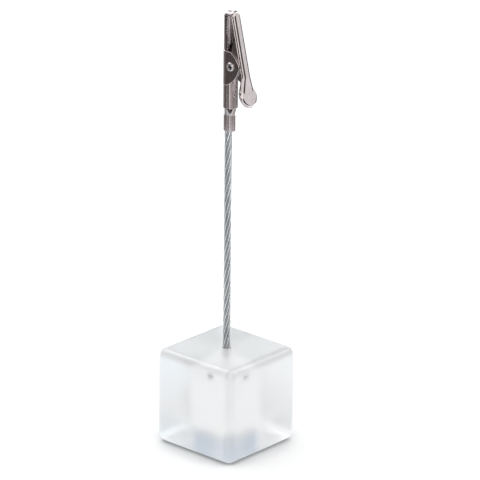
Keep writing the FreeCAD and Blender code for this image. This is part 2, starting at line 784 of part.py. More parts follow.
def least_gap(path, radius, wire):
    """The least clear distance of the wire to itself, measured on points more than half a turn apart."""
    points = path.discretize(Number=COIL_POINTS)
    apart = math.ceil(math.pi * radius / path.Length * COIL_POINTS)
    return min(points[high].distanceToPoint(points[low]) - wire
               for high in range(len(points)) for low in range(high - apart))


def make_torsion_spring():
    """Two full turns and a part, clockwise seen from -y, with a straight leg at each end."""
    wire = size("spring_wire").number
    radius = SHANK_RADIUS.number + size("spring_bore_gap").number + wire / 2
    half_span = (JAW_RADIUS - THICK).number - size("spring_side_gap").number - wire / 2
    body_foot, lever_foot = spring_feet(half_span, wire)
    first = spring_tangent(body_foot, radius, -1) + 2 * math.pi
    last = spring_tangent(lever_foot, radius, 1)
    turning = first - last + 4 * math.pi
    slope = 2 * half_span / turning
    steps = math.ceil(turning / (math.pi / 2))
    stations = []
    for step in range(steps + 1):
        turned = turning * step / steps
        lean = slope if 0 < step < steps else 0.0
        stations.append(coil_point(radius, first - turned, slope * turned - half_span, lean))
    start, start_way = stations[0]
    end, end_way = stations[-1]
    body_leg = (body_foot + FreeCAD.Vector(0, -half_span, 0) - start).Length
    lever_leg = (lever_foot + FreeCAD.Vector(0, half_span, 0) - end).Length
    coil = []
    for (here, here_way), (there, there_way) in zip(stations, stations[1:]):
        coil += biarc(here, here_way, there, there_way)
    edges = [Part.LineSegment(start - start_way * body_leg, start).toShape()] + coil
    edges.append(Part.LineSegment(end, end + end_way * lever_leg).toShape())
    spring = doc.addObject("Part::Feature", "torsion_spring")
    spring.Label = "torsion_spring"
    spring.Shape = sweep_round(edges, start - start_way * body_leg, start_way, wire / 2)
    spring.Placement = FreeCAD.Placement(vector(PIVOT_X, ZERO, CLIP_BASE + PIVOT_HEIGHT), FreeCAD.Rotation())
    print("spring turns %.3f, least gap to itself %.3f mm" % (turning / (2 * math.pi),
                                                               least_gap(Part.Wire(edges), radius, wire)))
    return spring


def check_document():
    for item in doc.Objects:
        if "Invalid" in item.State or "Error" in item.State:
            raise RuntimeError("%s failed: %s" % (item.Label, item.State))


def write_parts(pieces):
    for piece in pieces:
        shape = piece.Shape
        if shape.isNull() or not shape.isValid():
            raise RuntimeError("%s has no valid shape" % piece.Label)
    for piece in pieces:
        piece.Shape.exportStep("parts/%s.step" % piece.Label)
        print("%-16s solids %d volume %.3f mm3" % (piece.Label, len(piece.Shape.Solids), piece.Shape.Volume))


pieces = [make_block(), make_adhesive(), make_rope_core()]
pieces += [make_rope_wire(layer, number) for layer in (INNER_LAYER, OUTER_LAYER)
           for number in range(1, layer.count + 1)]
pieces += [make_clip_body(), make_clip_lever(), make_pivot_rivet(), make_torsion_spring()]
doc.recompute()
check_document()
write_parts(pieces)
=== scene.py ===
import logging
import math
from dataclasses import dataclass, field
from enum import Enum

import bpy
import numpy as np
from mathutils import Matrix, Vector


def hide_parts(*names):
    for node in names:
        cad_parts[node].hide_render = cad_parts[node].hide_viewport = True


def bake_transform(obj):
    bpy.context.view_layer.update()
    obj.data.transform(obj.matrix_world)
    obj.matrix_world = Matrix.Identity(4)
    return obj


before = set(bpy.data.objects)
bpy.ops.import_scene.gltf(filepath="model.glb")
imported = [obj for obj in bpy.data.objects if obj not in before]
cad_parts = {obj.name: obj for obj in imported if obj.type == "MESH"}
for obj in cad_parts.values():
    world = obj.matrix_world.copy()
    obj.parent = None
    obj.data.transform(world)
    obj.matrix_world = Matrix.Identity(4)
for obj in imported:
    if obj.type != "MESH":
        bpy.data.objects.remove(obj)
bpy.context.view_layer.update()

MM = 0.001
log = logging.getLogger("memo_holder")


class Body(Enum):
    """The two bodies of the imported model."""

    HOLDER = "holder"
    LEVER = "lever"


# Meshes


def make_piece(name: str, points: np.ndarray, faces: list[tuple[int, ...]]) -> bpy.types.Object:
    """Make a smooth mesh object in the scene.

    Args:
        name: Name of the piece.
        points: Vertex places in metres, one row each.
        faces: Vertex numbers of each face.

    Returns:
        The new object.
    """
    mesh = bpy.data.meshes.new(name)
    mesh.from_pydata(points.tolist(), [], faces)
    mesh.polygons.foreach_set("use_smooth", [True] * len(mesh.polygons))
    mesh.update()
    piece = bpy.data.objects.new(name, mesh)
    bpy.context.scene.collection.objects.link(piece)
    return piece


def frames_along(line: np.ndarray) -> tuple[np.ndarray, np.ndarray]:
    """Work out two crosswise directions at each point of a line, with no twist between them.

    Args:
        line: Points of the line, one row each.

    Returns:
        The two directions, each with a row per point.
    """
    ways = np.gradient(line, axis=0)
    ways /= np.linalg.norm(ways, axis=1)[:, None]
    first = np.cross(ways[0], np.eye(3)[np.argmin(np.abs(ways[0]))])
    sides = [first / np.linalg.norm(first)]
    for before, after in zip(ways, ways[1:]):
        middle = before + after
        middle /= np.linalg.norm(middle)
        turned = sides[-1] - 2 * np.dot(sides[-1], middle) * middle
        turned = turned - np.dot(turned, after) * after
        sides.append(turned / np.linalg.norm(turned) * np.sign(np.dot(turned, sides[-1]) or 1.0))
    across = np.array(sides)
    return across, np.cross(ways, across)


def make_tube(name: str, line: np.ndarray, radius: float, sides: int) -> bpy.types.Object:
    """Lay a round tube with closed ends round a line.

    Args:
        name: Name of the piece.
        line: Points of the tube's middle, one row each.
        radius: Radius of the tube.
        sides: Points round the tube.

    Returns:
        The piece.
    """
    across, up = frames_along(line)
    turn = np.linspace(0, 2 * math.pi, sides, endpoint=False)
    ring = np.cos(turn)[None, :, None] * across[:, None, :] + np.sin(turn)[None, :, None] * up[:, None, :]
    points = (line[:, None, :] + ring * radius).reshape(-1, 3)
    faces = []
    for row in range(len(line) - 1):
        low = row * sides
        for side in range(sides):
            after = (side + 1) % sides
            faces.append((low + side, low + after, low + sides + after, low + sides + side))
    last = (len(line) - 1) * sides
    faces.append(tuple(reversed(range(sides))))
    faces.append(tuple(range(last, last + sides)))
    return make_piece(name, points, faces)


# Shared effects


def new_group(name: str, inputs: list[str], outputs: list[str]) -> bpy.types.NodeTree:
    """Start a shader node group with float inputs and outputs.

    Args:
        name: Name of the group.
        inputs: Name of each input.
        outputs: Name of each output.

    Returns:
        The group with its input and output nodes.
    """
    group = bpy.data.node_groups.new(name, "ShaderNodeTree")
    for way, labels in (("INPUT", inputs), ("OUTPUT", outputs)):
        for label in labels:
            group.interface.new_socket(label, in_out=way, socket_type="NodeSocketFloat")
    group.nodes.new("NodeGroupInput")
    group.nodes.new("NodeGroupOutput")
    return group


def add_fade(group: bpy.types.NodeTree, value: bpy.types.NodeSocket,
             limits: tuple[float, float]) -> bpy.types.NodeSocket:
    """Turn a value into a mask.

    Args:
        group: The group to build in.
        value: The value's socket.
        limits: The values at which the mask is 0 and 1.

    Returns:
        The mask's socket.
    """
    node = group.nodes.new("ShaderNodeMapRange")
    node.inputs["From Min"].default_value = limits[0]
    node.inputs["From Max"].default_value = limits[1]
    group.links.new(value, node.inputs["Value"])
    return node.outputs["Result"]


@dataclass
class Effects:
    """The node groups that several materials share, each built once.

    Limits are the values at which a mask is 0 and 1. Edge wear with a painted highlight goes by the cosine
    between the rounded and the flat normal, painted shade in recesses by the open share of the sky, and
    patches by noise.
    """

    samples: int = 6
    grain_detail: float = 3.0
    patch_detail: float = 4.0
    # The first mask lightens edges as a painted highlight, the second darkens recesses as painted shade.
    wear_and_highlight_limits: tuple[float, float] = (0.97, 0.80)
    recess_shade_limits: tuple[float, float] = (0.75, 0.15)
    patch_limits: tuple[float, float] = (0.35, 0.70)

    def __post_init__(self) -> None:
        """Build every group."""
        self.drawn_grain = self._drawn_grain()
        self.edge_wear_and_highlight = self._edge_wear_and_highlight()
        self.handling = self._handling()
        self.painted_recess_shade = self._painted_recess_shade()

    def _drawn_grain(self) -> bpy.types.NodeTree:
        """Build the fine streaks of drawn or rolled metal, along Z.

        Returns:
            The group.
        """
        group = new_group("drawn_grain", ["Across per metre", "Along per metre"], ["Grain"])
        nodes, links = group.nodes, group.links
        start, end = nodes["Group Input"], nodes["Group Output"]
        place = nodes.new("ShaderNodeTexCoord")
        stretch = nodes.new("ShaderNodeCombineXYZ")
        links.new(start.outputs["Across per metre"], stretch.inputs["X"])
        links.new(start.outputs["Across per metre"], stretch.inputs["Y"])
        links.new(start.outputs["Along per metre"], stretch.inputs["Z"])
        scaled = nodes.new("ShaderNodeVectorMath")
        scaled.operation = "MULTIPLY"
        links.new(place.outputs["Object"], scaled.inputs[0])
        links.new(stretch.outputs["Vector"], scaled.inputs[1])
        noise = nodes.new("ShaderNodeTexNoise")
        noise.inputs["Scale"].default_value = 1.0
        noise.inputs["Detail"].default_value = self.grain_detail
        links.new(scaled.outputs["Vector"], noise.inputs["Vector"])
        links.new(noise.outputs["Fac"], end.inputs["Grain"])
        return group

    def _edge_wear_and_highlight(self) -> bpy.types.NodeTree:
        """Build the mask that is 1 on sharp edges, used for a painted highlight in their colour and for
        rougher worn edges, and the normal of edges rounded by tumbling.

        Returns:
            The group.
        """
        group = new_group("edge_wear_and_highlight", ["Width"], ["Mask"])
        group.interface.new_socket("Normal", in_out="OUTPUT", socket_type="NodeSocketVector")
        nodes, links = group.nodes, group.links
        start, end = nodes["Group Input"], nodes["Group Output"]
        bevel = nodes.new("ShaderNodeBevel")
        bevel.samples = self.samples
        links.new(start.outputs["Width"], bevel.inputs["Radius"])
        surface = nodes.new("ShaderNodeNewGeometry")
        dot = nodes.new("ShaderNodeVectorMath")
        dot.operation = "DOT_PRODUCT"
        links.new(bevel.outputs["Normal"], dot.inputs[0])
        links.new(surface.outputs["Normal"], dot.inputs[1])
        # The mask rises where the bevelled normal turns from the flat one; materials lighten the colour there
        # as a painted highlight.
        links.new(add_fade(group, dot.outputs["Value"], self.wear_and_highlight_limits), end.inputs["Mask"])
        links.new(bevel.outputs["Normal"], end.inputs["Normal"])
        return group

    def _painted_recess_shade(self) -> bpy.types.NodeTree:
        """Build the mask that is 1 deep in recesses and near other geometry, used for painted shade in the
        colour and a rougher surface there.

        Returns:
            The group.
        """
        group = new_group("painted_recess_shade", ["Reach"], ["Mask"])
        nodes, links = group.nodes, group.links
        start, end = nodes["Group Input"], nodes["Group Output"]
        # Ambient occlusion: the mask rises near other geometry, where materials paint shade.
        openness = nodes.new("ShaderNodeAmbientOcclusion")
        openness.samples = self.samples
        links.new(start.outputs["Reach"], openness.inputs["Distance"])
        links.new(add_fade(group, openness.outputs["AO"], self.recess_shade_limits), end.inputs["Mask"])
        return group

    def _handling(self) -> bpy.types.NodeTree:
        """Build the soft patches where fingers and tools have touched the surface.

        Returns:
            The group.
        """
        group = new_group("handling", ["Patches per metre"], ["Mask"])
        nodes, links = group.nodes, group.links
        start, end = nodes["Group Input"], nodes["Group Output"]
        place = nodes.new("ShaderNodeTexCoord")
        noise = nodes.new("ShaderNodeTexNoise")
        noise.inputs["Detail"].default_value = self.patch_detail
        links.new(place.outputs["Object"], noise.inputs["Vector"])
        links.new(start.outputs["Patches per metre"], noise.inputs["Scale"])
        links.new(add_fade(group, noise.outputs["Fac"], self.patch_limits), end.inputs["Mask"])
        return group


# Finishes


Colour = tuple[float, float, float, float]
ColourSource = Colour | bpy.types.NodeSocket


def grey(level: float) -> Colour:
    """Give an opaque grey of a level from 0 to 1."""
    return level, level, level, 1.0


class NodeDesk:
    """A new material with its shader, and short ways to add and join nodes."""

    def __init__(self, name: str) -> None:
        """Start a material.

        Args:
            name: Name of the material.
        """
        self.material = bpy.data.materials.new(name)
        self.material.use_nodes = True
        self.tree = self.material.node_tree
        self.shader = self.tree.nodes["Principled BSDF"]

    def group(self, source: bpy.types.NodeTree, values: dict[str, float]) -> bpy.types.Node:
        """Place a shared group.

        Args:
            source: The group.
            values: Its input values by name.

        Returns:
            The group node.
        """
        node = self.tree.nodes.new("ShaderNodeGroup")
        node.node_tree = source
        for label, value in values.items():
            node.inputs[label].default_value = value
        return node

    def mix_colour(self, factor: bpy.types.NodeSocket, low: ColourSource,
                   high: ColourSource) -> bpy.types.NodeSocket:
        """Blend two colours.

        Args:
            factor: Socket from 0 to 1.
            low: Colour or socket at 0.
            high: Colour or socket at 1.

        Returns:
            The blended colour's socket.
        """
        node = self.tree.nodes.new("ShaderNodeMix")
        node.data_type = "RGBA"
        self.tree.links.new(factor, node.inputs["Factor"])
        for label, end in (("A", low), ("B", high)):
            if isinstance(end, bpy.types.NodeSocket):
                self.tree.links.new(end, node.inputs[label])
            else:
                node.inputs[label].default_value = end
        return next(socket for socket in node.outputs if socket.type == "RGBA")

    def mix_number(self, factor: bpy.types.NodeSocket, low: bpy.types.NodeSocket,
                   high: float) -> bpy.types.NodeSocket:
        """Blend two numbers.

        Args:
            factor: Socket from 0 to 1.
            low: Socket with the number at 0.
            high: Number at 1.

        Returns:
            The blended number's socket.
        """
        node = self.tree.nodes.new("ShaderNodeMix")
        self.tree.links.new(factor, node.inputs["Factor"])
        self.tree.links.new(low, node.inputs["A"])
        node.inputs["B"].default_value = high
        return node.outputs["Result"]

    def spread(self, value: bpy.types.NodeSocket, low: float, high: float) -> bpy.types.NodeSocket:
        """Map a 0 to 1 value to a range.

        Args:
            value: Socket from 0 to 1.
            low: Result at 0.
            high: Result at 1.

        Returns:
            The result's socket.
        """
        node = self.tree.nodes.new("ShaderNodeMapRange")
        node.inputs["To Min"].default_value = low
        node.inputs["To Max"].default_value = high
        self.tree.links.new(value, node.inputs["Value"])
        return node.outputs["Result"]

    def feed(self, value: bpy.types.NodeSocket, label: str) -> None:
        """Join a socket to the shader's own input.

        Args:
            value: Socket to join.
            label: Name of the shader's input.
        """
        self.tree.links.new(value, self.shader.inputs[label])

    def bump(self, height: bpy.types.NodeSocket, distance: float, strength: float,
             normal: bpy.types.NodeSocket | None = None) -> None:
        """Raise the surface by a height socket.

        Args:
            height: Socket from 0 to 1.
            distance: Height at 1 in metres.
            strength: How much of it shows.
            normal: Normal to start from, where it isn't the surface's own.
        """
        node = self.tree.nodes.new("ShaderNodeBump")
        node.inputs["Distance"].default_value = distance
        node.inputs["Strength"].default_value = strength
        self.tree.links.new(height, node.inputs["Height"])
        if normal is not None:
            self.tree.links.new(normal, node.inputs["Normal"])
        self.tree.links.new(node.outputs["Normal"], self.shader.inputs["Normal"])


@dataclass(frozen=True)
class MetalFinish:
    """Plated or drawn steel.

    Widths, depths and reaches are in metres, and grain and patches are counted per metre.
    """

    name: str
    colour: Colour
    dull_colour: Colour
    # Colour of the edges, a painted highlight.
    edge_highlight_colour: Colour
    roughness_low: float
    roughness_high: float
    grain_across: float = 9000.0
    grain_along: float = 500.0
    grain_depth: float = 0.000004
    grain_strength: float = 0.6
    patches_per_metre: float = 350.0
    edge_width: float = 0.00014
    edge_roughness: float = 0.45
    # Colour, reach and roughness of the painted shade in recesses and between parts.
    recess_shade_colour: Colour = (0.60, 0.55, 0.55, 1.0)
    recess_shade_reach: float = 0.0025
    recess_shade_roughness: float = 0.65

    def build(self, effects: Effects) -> bpy.types.Material:
        """Build the material.

        Args:
            effects: The shared node groups.

        Returns:
            The material.
        """
        desk = NodeDesk(self.name)
        grain = desk.group(effects.drawn_grain, {"Across per metre": self.grain_across,
                                                 "Along per metre": self.grain_along}).outputs["Grain"]
        patches = desk.group(effects.handling, {"Patches per metre": self.patches_per_metre}).outputs["Mask"]
        edges = desk.group(effects.edge_wear_and_highlight, {"Width": self.edge_width})
        recess_shade = desk.group(effects.painted_recess_shade, {"Reach": self.recess_shade_reach}).outputs["Mask"]
        body = desk.mix_colour(patches, self.colour, self.dull_colour)
        # Edges get a painted highlight and recesses painted shade in the colour.
        highlit = desk.mix_colour(edges.outputs["Mask"], body, self.edge_highlight_colour)
        desk.feed(desk.mix_colour(recess_shade, highlit, self.recess_shade_colour), "Base Color")
        desk.shader.inputs["Metallic"].default_value = 1.0
        gloss = desk.spread(grain, self.roughness_low, self.roughness_high)
        rounded = desk.mix_number(edges.outputs["Mask"], gloss, self.edge_roughness)
        desk.feed(desk.mix_number(recess_shade, rounded, self.recess_shade_roughness), "Roughness")
        desk.bump(grain, self.grain_depth, self.grain_strength, edges.outputs["Normal"])
        return desk.material


@dataclass(frozen=True)
class FrostedFinish:
    """Satin-frosted clear acrylic.

    Speckle depth is in metres, and patches and speckles are counted per metre.
    """

    name: str = "frosted_clear_acrylic"
    colour: Colour = (0.985, 0.992, 0.997, 1.0)
    patch_share: float = 0.99
    patches_per_metre: float = 120.0
    roughness_low: float = 0.30
    roughness_high: float = 0.36
    refraction: float = 1.49
    clear_share: float = 1.0
    speckles_per_metre: float = 6000.0
    speckle_depth: float = 0.000004
    speckle_strength: float = 0.5

    def build(self, effects: Effects) -> bpy.types.Material:
        """Build the material.

        Args:
            effects: The shared node groups.

        Returns:
            The material.
        """
        desk = NodeDesk(self.name)
        desk.shader.inputs["Metallic"].default_value = 0.0
        desk.shader.inputs["Transmission Weight"].default_value = self.clear_share
        desk.shader.inputs["IOR"].default_value = self.refraction
        patches = desk.group(effects.handling, {"Patches per metre": self.patches_per_metre}).outputs["Mask"]
        patch_colour = tuple(self.patch_share * part for part in self.colour[:3]) + (1.0,)
        desk.feed(desk.mix_colour(patches, self.colour, patch_colour), "Base Color")
        desk.feed(desk.spread(patches, self.roughness_low, self.roughness_high), "Roughness")
        speckle = desk.tree.nodes.new("ShaderNodeTexNoise")
        speckle.inputs["Scale"].default_value = self.speckles_per_metre
        place = desk.tree.nodes.new("ShaderNodeTexCoord")
        desk.tree.links.new(place.outputs["Object"], speckle.inputs["Vector"])
        desk.bump(speckle.outputs["Fac"], self.speckle_depth, self.speckle_strength)
        return desk.material


@dataclass(frozen=True)
class GlueFinish:
    """Clear cured adhesive."""

    name: str = "clear_cured_adhesive"
    colour: Colour = (0.93, 0.93, 0.91, 1.0)
    patch_colour: Colour = (0.88, 0.88, 0.86, 1.0)
    patches_per_metre: float = 900.0
    roughness_low: float = 0.12
    roughness_high: float = 0.22
    refraction: float = 1.47

    def build(self, effects: Effects) -> bpy.types.Material:
        """Build the material.

        Args:
            effects: The shared node groups.

        Returns:
            The material.
        """
        desk = NodeDesk(self.name)
        desk.shader.inputs["Metallic"].default_value = 0.0
        desk.shader.inputs["Transmission Weight"].default_value = 1.0
        desk.shader.inputs["IOR"].default_value = self.refraction
        patches = desk.group(effects.handling, {"Patches per metre": self.patches_per_metre}).outputs["Mask"]
        desk.feed(desk.mix_colour(patches, self.colour, self.patch_colour), "Base Color")
        desk.feed(desk.spread(patches, self.roughness_low, self.roughness_high), "Roughness")
        return desk.material


def dress(piece: bpy.types.Object, material: bpy.types.Material) -> None:
    """Give a piece or node one material.

    Args:
        piece: The object.
        material: Its material.
    """
    piece.data.materials.clear()
    piece.data.materials.append(material)


# Sub-assemblies


@dataclass
class CubeFoot:
    """The frosted cube and the adhesive in its hole."""

    finish: FrostedFinish = field(default_factory=FrostedFinish)
    glue: GlueFinish = field(default_factory=GlueFinish)

    def build(self, effects: Effects) -> None:
        """Dress both nodes.

        Args:
            effects: The shared node groups.
        """
        dress(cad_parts["block"], self.finish.build(effects))
        dress(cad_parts["adhesive"], self.glue.build(effects))
        log.info("cube foot dressed")


class WireLayer(Enum):
    """The rope's wires from the inside out."""

    CENTRE = "rope_core"
    INNER = "rope_inner_wire"
    OUTER = "rope_outer_wire"


@dataclass
class WireRope:
    """The stem: a straight wire with six inner and twelve outer wires laid round it.

    Every second wire has a darker copy of the finish, a painted shade, and painted shade makes the gaps
    between wires nearly black.
    """

    inner_wires: int = 6
    outer_wires: int = 12
    # Nearly black painted shade fills the gaps between wires; edges get a painted highlight.
    finish: MetalFinish = MetalFinish(
        name="drawn_rope_wire",
        colour=(0.82, 0.84, 0.85, 1.0),
        dull_colour=(0.72, 0.74, 0.75, 1.0),
        edge_highlight_colour=(0.88, 0.89, 0.90, 1.0),
        roughness_low=0.16,
        roughness_high=0.26,
        recess_shade_colour=(0.02, 0.02, 0.022, 1.0),
        recess_shade_reach=0.0003)
    # A darker copy of the same wire finish, a painted shade on every second wire.
    shaded_finish: MetalFinish = MetalFinish(
        name="shaded_rope_wire",
        colour=(0.46, 0.47, 0.48, 1.0),
        dull_colour=(0.38, 0.39, 0.40, 1.0),
        edge_highlight_colour=(0.50, 0.51, 0.52, 1.0),
        roughness_low=0.20,
        roughness_high=0.30,
        recess_shade_colour=(0.02, 0.02, 0.022, 1.0),
        recess_shade_reach=0.0003)

    def nodes(self) -> list[str]:
        """Name the rope's nodes.

        Returns:
            The names from the centre wire outwards.
        """
        names = [WireLayer.CENTRE.value]
        for layer, count in ((WireLayer.INNER, self.inner_wires), (WireLayer.OUTER, self.outer_wires)):
            names += [f"{layer.value}_{number}" for number in range(1, count + 1)]
        return names

    def build(self, effects: Effects) -> None:
        """Dress every wire.

        Args:
            effects: The shared node groups.
        """
        bright, shaded = self.finish.build(effects), self.shaded_finish.build(effects)
        for place, name in enumerate(self.nodes()):
            # Every second wire takes the darker copy, a painted shade.
            dress(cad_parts[name], shaded if place % 2 else bright)
        log.info("%d rope wires dressed", len(self.nodes()))


@dataclass
class SpringClip:
    """The clip: fixed body, lever and rivet, which keep their solids, and the spring, which is rebuilt.

    A leg's foot is its end seen from the side, from the pivot, as X and Z.
    """

    pivot: tuple[float, float, float] = (2.5 * MM, 0.0, 118.9 * MM)
    wire: float = 0.34 * MM
    coil_radius: float = 1.19 * MM
    half_span: float = 0.99 * MM
    body_foot: tuple[float, float] = (-3.127 * MM, -5.6 * MM)
    lever_foot: tuple[float, float] = (4.102 * MM, -2.525 * MM)
    full_turns: int = 2
    wire_sides: int = 12
    turn_points: int = 48
    blend_share: float = 0.9
    spring_slot: str = "spring_wire"
    # Edges get a painted highlight and recesses painted shade, which is nearly black on the rivet.
    plating: MetalFinish = MetalFinish(
        name="polished_plating",
        colour=(0.64, 0.59, 0.60, 1.0),
        dull_colour=(0.55, 0.50, 0.50, 1.0),
        edge_highlight_colour=(0.98, 0.93, 0.92, 1.0),
        roughness_low=0.08,
        roughness_high=0.17)
    rivet: MetalFinish = MetalFinish(
        name="rivet_plating",
        colour=(0.66, 0.62, 0.62, 1.0),
        dull_colour=(0.60, 0.56, 0.56, 1.0),
        edge_highlight_colour=(0.90, 0.87, 0.87, 1.0),
        roughness_low=0.10,
        roughness_high=0.20,
        recess_shade_colour=(0.03, 0.03, 0.03, 1.0),
        recess_shade_reach=0.0012)
    spring: MetalFinish = MetalFinish(
        name="spring_steel_wire",
        colour=(0.42, 0.41, 0.40, 1.0),
        dull_colour=(0.32, 0.31, 0.30, 1.0),
        edge_highlight_colour=(0.50, 0.49, 0.48, 1.0),
        roughness_low=0.24,
        roughness_high=0.38)

    def leave_angle(self, foot: tuple[float, float], side: int) -> float:
        """Work out where a straight leg leaves the coil.

        Args:
            foot: The leg's foot.
            side: 1 for the lever's leg and -1 for the body's.

        Returns:
            The angle in radians.
        """
        return math.atan2(foot[1], foot[0]) + side * math.acos(self.coil_radius / math.hypot(*foot))

    def spring_line(self) -> np.ndarray:
        """Lay out the middle of the spring's wire.

        Returns:
            Its points from the body's leg to the lever's, one row each.
        """
        first = self.leave_angle(self.body_foot, -1) + 2 * math.pi
        last = self.leave_angle(self.lever_foot, 1)
        turning = first - last + 2 * math.pi * self.full_turns
        turned = np.linspace(0, turning, math.ceil(turning / (2 * math.pi) * self.turn_points))
        angle = first - turned
        coil = np.stack([self.coil_radius * np.cos(angle),
                         2 * self.half_span * turned / turning - self.half_span,
                         self.coil_radius * np.sin(angle)], axis=1)
        start = np.array((self.body_foot[0], -self.half_span, self.body_foot[1]))
        end = np.array((self.lever_foot[0], self.half_span, self.lever_foot[1]))
        share = np.linspace(0, 1, self.turn_points, endpoint=False)[:, None]
        in_leg = start + (coil[0] - start) * share
        out_leg = end + (coil[-1] - end) * share
        return np.vstack([in_leg, coil, out_leg[::-1]]) + np.array(self.pivot)

    def build(self, effects: Effects) -> None:
        """Dress the clip's nodes and build its spring.

        Args:
            effects: The shared node groups.
        """
        plating = self.plating.build(effects)
        dress(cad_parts["clip_body"], plating)
        dress(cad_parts["clip_lever"], plating)
        dress(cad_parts["pivot_rivet"], self.rivet.build(effects))
        piece = make_tube("torsion_spring_wire", self.spring_line(), self.wire / 2, self.wire_sides)
        dress(piece, self.spring.build(effects))
        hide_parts("torsion_spring")
        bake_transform(piece)
        log.info("spring clip dressed")


# Studio


class Tint(Enum):
    """Colours of the light that comes off a card."""

    WARM = (1.0, 0.97, 0.95, 1.0)
    BROWN = (1.0, 0.88, 0.86, 1.0)
    NEUTRAL = (0.97, 0.99, 1.0, 1.0)
    COOL = (0.88, 0.95, 1.0, 1.0)
    BLUE = (0.32, 0.52, 0.82, 1.0)


@dataclass(frozen=True)
class Panel:
    """A card that only reflections see, or only the cube's inside, standing or lying round the object.

    Azimuth and width are in degrees, from +X towards +Y. Low and high are the heights of its edges in metres,
    and tone is its brightness. Its lower edge stands at its own distance where foot_distance is above 0.
    """

    name: str
    azimuth: float
    width: float
    low: float
    high: float
    tone: float
    distance: float = 0.26
    through_cube: bool = False
    foot_distance: float = 0.0
    tint: Tint = Tint.WARM


# Heights of the cards' edges, and the radius of the ring that the flat ones reach

ON_FLOOR = 0.0006
LOW_FOOT = 0.0055
SEAM = 0.05
RING = 0.256

PANELS = (
    Panel("low_card_1", 200.0, 42.0, LOW_FOOT, SEAM, 0.22, tint=Tint.BROWN),
    Panel("low_card_2", 228.0, 14.0, LOW_FOOT, SEAM, 0.09, tint=Tint.BROWN),
    Panel("low_card_3", 240.0, 10.0, LOW_FOOT, 0.028, 0.50),
    Panel("low_card_4", 257.0, 44.0, LOW_FOOT, SEAM, 0.14, 0.262, tint=Tint.BROWN),
    Panel("low_card_5", 289.0, 20.0, LOW_FOOT, SEAM, 0.95),
    Panel("low_card_6", 314.0, 30.0, LOW_FOOT, SEAM, 0.44, tint=Tint.BROWN),
    Panel("low_card_7", 338.0, 18.0, LOW_FOOT, SEAM, 0.34, tint=Tint.BROWN),
    Panel("low_card_8", 359.0, 24.0, LOW_FOOT, SEAM, 0.20, tint=Tint.BROWN),
    Panel("low_card_9", 25.0, 28.0, LOW_FOOT, SEAM, 0.40, tint=Tint.BROWN),
    Panel("low_card_10", 50.0, 22.0, LOW_FOOT, SEAM, 0.27, tint=Tint.BROWN),
    Panel("low_card_11", 108.0, 92.0, 0.0, SEAM, 0.22, tint=Tint.BROWN),
    Panel("gleam_card", 228.2, 7.0, LOW_FOOT, 0.0115, 0.60, 0.255),
    Panel("high_card_1", 212.0, 60.0, SEAM, 0.15, 0.06, tint=Tint.BROWN),
    Panel("high_card_2", 250.0, 16.0, 0.048, 0.085, 1.9),
    Panel("high_card_3", 279.0, 42.0, SEAM, 0.142, 0.04, tint=Tint.BROWN),
    Panel("high_card_4", 319.0, 38.0, SEAM, 0.160, 1.22),
    Panel("high_card_5", 7.0, 58.0, SEAM, 0.178, 0.10, tint=Tint.BROWN),
    Panel("high_card_6", 102.0, 98.0, SEAM, 0.098, 0.08, tint=Tint.BROWN),
    Panel("high_card_7", 66.0, 26.0, 0.098, 0.128, 0.10, tint=Tint.BROWN),
    Panel("edge_card_1", 228.0, 42.0, 0.165, 0.252, 0.04),
    Panel("edge_card_2", 272.0, 54.0, 0.26, 0.41, 0.02),
    Panel("edge_card_3", 345.0, 88.0, 0.19, 0.41, 1.5),
    Panel("nose_card_1", 101.0, 46.0, 0.24, 0.72, 0.0),
    Panel("nose_card_2", 156.0, 14.0, 0.37, 0.45, 0.12),
    Panel("top_gleam_card", 132.0, 96.0, 0.105, 0.155, 2.5, tint=Tint.COOL),
    Panel("left_rim_card", 178.0, 34.0, 0.26, 0.38, 7.5, tint=Tint.NEUTRAL),
    Panel("right_rim_card", 68.0, 18.0, 0.20, 0.31, 8.0, tint=Tint.NEUTRAL),
    Panel("rope_card_1", 164.0, 64.0, ON_FLOOR, ON_FLOOR, 2.0, RING, foot_distance=0.09, tint=Tint.COOL),
    Panel("rope_card_2", 262.0, 80.0, ON_FLOOR, ON_FLOOR, 0.85, RING, foot_distance=0.09, tint=Tint.COOL),
    Panel("rope_card_3", 342.0, 80.0, ON_FLOOR, ON_FLOOR, 2.4, RING, foot_distance=0.165, tint=Tint.COOL),
    Panel("rope_card_4", 77.0, 110.0, ON_FLOOR, ON_FLOOR, 3.2, RING, foot_distance=0.165, tint=Tint.COOL),
    Panel("fold_card_1", 209.0, 26.0, ON_FLOOR, ON_FLOOR, 0.45, RING, foot_distance=0.09),
    Panel("fold_card_2", 37.0, 190.0, ON_FLOOR, ON_FLOOR, 0.55, 0.165, foot_distance=0.09),
    # A bluish card seen only through the cube: a painted shadow in place of the floor's shadow seen through
    # the cube's bottom.
    Panel("painted_shadow_card", 133.5, 26.0, 0.010, 0.034, 0.62, 0.05, True, tint=Tint.BLUE),
    Panel("bright_right_card", 48.0, 70.0, ON_FLOOR, 0.07, 1.17, 0.035, True, tint=Tint.COOL),
    Panel("bright_left_card", 228.0, 70.0, ON_FLOOR, 0.07, 1.17, 0.035, True, tint=Tint.NEUTRAL),
)


def joined_rays(tree: bpy.types.NodeTree, path: bpy.types.Node,
                labels: tuple[str, ...]) -> bpy.types.NodeSocket:
    """Join kinds of ray into one mask.

    Args:
        tree: The node tree to build in.
        path: Its Light Path node.
        labels: Outputs of that node to join.

    Returns:
        A socket that is 1 for any of them.
    """
    either = path.outputs[labels[0]]
    for label in labels[1:]:
        larger = tree.nodes.new("ShaderNodeMath")
        larger.operation = "MAXIMUM"
        tree.links.new(either, larger.inputs[0])
        tree.links.new(path.outputs[label], larger.inputs[1])
        either = larger.outputs["Value"]
    return either


